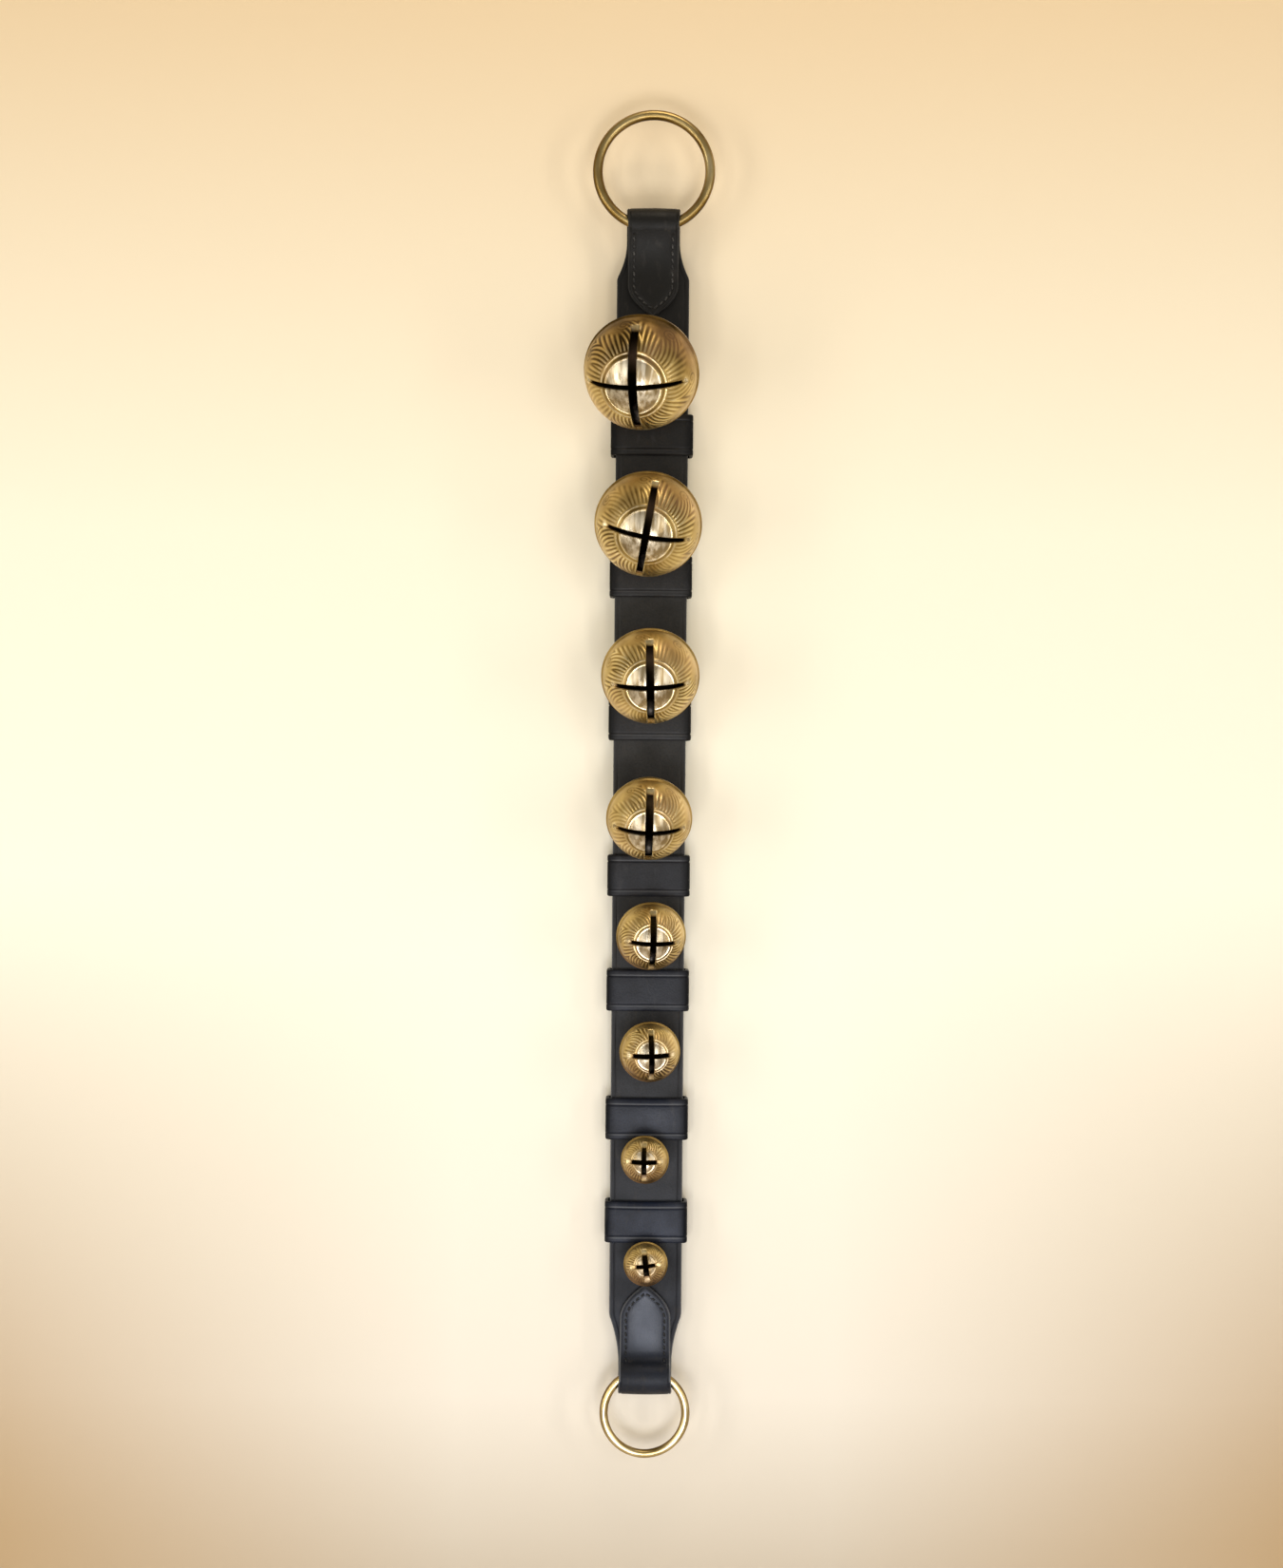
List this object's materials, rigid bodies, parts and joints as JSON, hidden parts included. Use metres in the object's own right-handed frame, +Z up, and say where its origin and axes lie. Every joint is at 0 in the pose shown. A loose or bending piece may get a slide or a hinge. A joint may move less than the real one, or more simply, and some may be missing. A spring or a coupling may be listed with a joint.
{
  "type": "sleigh bell strap",
  "caption": "Black leather strap hung from a brass ring, with graduated cast brass sleigh bells that nod on cross pins, sliding leather keepers and a smaller ring at its foot.",
  "frame": {"origin": "the point that the strap hangs from: the inside of the top ring's wire, at its top", "axes": "+Z up along the strap, -Y the front where the bells are, +X to the right seen from the front"},
  "size_m": [0.0672, 0.0684, 0.707],
  "materials": {
    "strap_leather": "waxed black harness leather, worn",
    "keeper_leather": "black harness leather with creased edges",
    "liner_leather": "matte flesh side, dyed black",
    "thread": "waxed linen thread",
    "bell_brass": "polished cast brass with brown patina in the relief",
    "ring_brass": "polished brass wire",
    "steel": "dull iron"
  },
  "bodies": {
    "top_ring": {"top_ring": "ring_brass"},
    "strap": {"main_strap": "strap_leather", "back_liner": "liner_leather", "top_stitching": "thread", "bottom_stitching": "thread", "shank_pin_1": "steel", "shank_pin_2": "steel", "shank_pin_3": "steel", "shank_pin_4": "steel", "shank_pin_5": "steel", "shank_pin_6": "steel", "shank_pin_7": "steel", "shank_pin_8": "steel"},
    "bottom_ring": {"bottom_ring": "ring_brass"},
    "bell_1": {"bell_1": "bell_brass"},
    "pellet_1": {"pellet_1": "steel"},
    "bell_2": {"bell_2": "bell_brass"},
    "pellet_2": {"pellet_2": "steel"},
    "bell_3": {"bell_3": "bell_brass"},
    "pellet_3": {"pellet_3": "steel"},
    "bell_4": {"bell_4": "bell_brass"},
    "pellet_4": {"pellet_4": "steel"},
    "bell_5": {"bell_5": "bell_brass"},
    "pellet_5": {"pellet_5": "steel"},
    "bell_6": {"bell_6": "bell_brass"},
    "pellet_6": {"pellet_6": "steel"},
    "bell_7": {"bell_7": "bell_brass"},
    "pellet_7": {"pellet_7": "steel"},
    "bell_8": {"bell_8": "bell_brass"},
    "pellet_8": {"pellet_8": "steel"},
    "keeper_1": {"keeper_1": "keeper_leather"},
    "keeper_2": {"keeper_2": "keeper_leather"},
    "keeper_3": {"keeper_3": "keeper_leather"},
    "keeper_4": {"keeper_4": "keeper_leather"},
    "keeper_5": {"keeper_5": "keeper_leather"},
    "keeper_6": {"keeper_6": "keeper_leather"},
    "keeper_7": {"keeper_7": "keeper_leather"}
  },
  "joints": [
    {"name": "strap_swing", "type": "hinge", "parent": "top_ring", "child": "strap", "pos_m": [0, 0, -0.05443], "axis": [-1, 0, 0], "range_deg": [0, 90]},
    {"name": "bottom_ring_swing", "type": "hinge", "parent": "strap", "child": "bottom_ring", "pos_m": [0, -0.00066, -0.65968], "axis": [1, 0, 0], "range_deg": [-90, 90]},
    {"name": "bell_1_nod", "type": "hinge", "parent": "strap", "child": "bell_1", "pos_m": [0, 0.00809, -0.12064], "axis": [-1, 0, 0], "range_deg": [0, 20]},
    {"name": "pellet_1_roll", "type": "hinge", "parent": "bell_1", "child": "pellet_1", "pos_m": [-0.0058, -0.02456, -0.13728], "axis": [1, 0, 0], "range_deg": [-50, 50]},
    {"name": "bell_2_nod", "type": "hinge", "parent": "strap", "child": "bell_2", "pos_m": [0, 0.00809, -0.20283], "axis": [-1, 0, 0], "range_deg": [0, 20]},
    {"name": "pellet_2_roll", "type": "hinge", "parent": "bell_2", "child": "pellet_2", "pos_m": [-0.00171, -0.02231, -0.21481], "axis": [1, 0, 0], "range_deg": [-50, 50]},
    {"name": "bell_3_nod", "type": "hinge", "parent": "strap", "child": "bell_3", "pos_m": [0, 0.00809, -0.2835], "axis": [-1, 0, 0], "range_deg": [0, 18]},
    {"name": "pellet_3_roll", "type": "hinge", "parent": "bell_3", "child": "pellet_3", "pos_m": [0, -0.01996, -0.29272], "axis": [1, 0, 0], "range_deg": [-50, 50]},
    {"name": "bell_4_nod", "type": "hinge", "parent": "strap", "child": "bell_4", "pos_m": [0, 0.00809, -0.35688], "axis": [-1, 0, 0], "range_deg": [0, 20]},
    {"name": "pellet_4_roll", "type": "hinge", "parent": "bell_4", "child": "pellet_4", "pos_m": [0, -0.01686, -0.36621], "axis": [1, 0, 0], "range_deg": [-50, 50]},
    {"name": "bell_5_nod", "type": "hinge", "parent": "strap", "child": "bell_5", "pos_m": [0, 0.00809, -0.42347], "axis": [-1, 0, 0], "range_deg": [0, 12]},
    {"name": "pellet_5_roll", "type": "hinge", "parent": "bell_5", "child": "pellet_5", "pos_m": [0.00148, -0.01271, -0.42736], "axis": [1, 0, 0], "range_deg": [-50, 50]},
    {"name": "bell_6_nod", "type": "hinge", "parent": "strap", "child": "bell_6", "pos_m": [0, 0.00809, -0.48673], "axis": [-1, 0, 0], "range_deg": [0, 8]},
    {"name": "pellet_6_roll", "type": "hinge", "parent": "bell_6", "child": "pellet_6", "pos_m": [0.00129, -0.01036, -0.48766], "axis": [1, 0, 0], "range_deg": [-50, 50]},
    {"name": "bell_7_nod", "type": "hinge", "parent": "strap", "child": "bell_7", "pos_m": [0, 0.00809, -0.54488], "axis": [-1, 0, 0], "range_deg": [0, 4]},
    {"name": "pellet_7_roll", "type": "hinge", "parent": "bell_7", "child": "pellet_7", "pos_m": [-0.00079, -0.00706, -0.54435], "axis": [1, 0, 0], "range_deg": [-50, 50]},
    {"name": "bell_8_nod", "type": "hinge", "parent": "strap", "child": "bell_8", "pos_m": [0, 0.00809, -0.60022], "axis": [-1, 0, 0], "range_deg": [0, 5]},
    {"name": "pellet_8_roll", "type": "hinge", "parent": "bell_8", "child": "pellet_8", "pos_m": [0, -0.00606, -0.59893], "axis": [1, 0, 0], "range_deg": [-50, 50]},
    {"name": "keeper_1_slide", "type": "slide", "parent": "strap", "child": "keeper_1", "axis": [0, 0, 1], "range_m": [-0.021, 0.0055]},
    {"name": "keeper_2_slide", "type": "slide", "parent": "strap", "child": "keeper_2", "axis": [0, 0, 1], "range_m": [-0.027, 0.0025]},
    {"name": "keeper_3_slide", "type": "slide", "parent": "strap", "child": "keeper_3", "axis": [0, 0, 1], "range_m": [-0.026, 0.0002]},
    {"name": "keeper_4_slide", "type": "slide", "parent": "strap", "child": "keeper_4", "axis": [0, 0, 1], "range_m": [-0.007, 0.0095]},
    {"name": "keeper_5_slide", "type": "slide", "parent": "strap", "child": "keeper_5", "axis": [0, 0, 1], "range_m": [-0.0085, 0.0095]},
    {"name": "keeper_6_slide", "type": "slide", "parent": "strap", "child": "keeper_6", "axis": [0, 0, 1], "range_m": [-0.0002, 0.0175]},
    {"name": "keeper_7_slide", "type": "slide", "parent": "strap", "child": "keeper_7", "axis": [0, 0, 1], "range_m": [-0.0006, 0.016]}
  ]
}
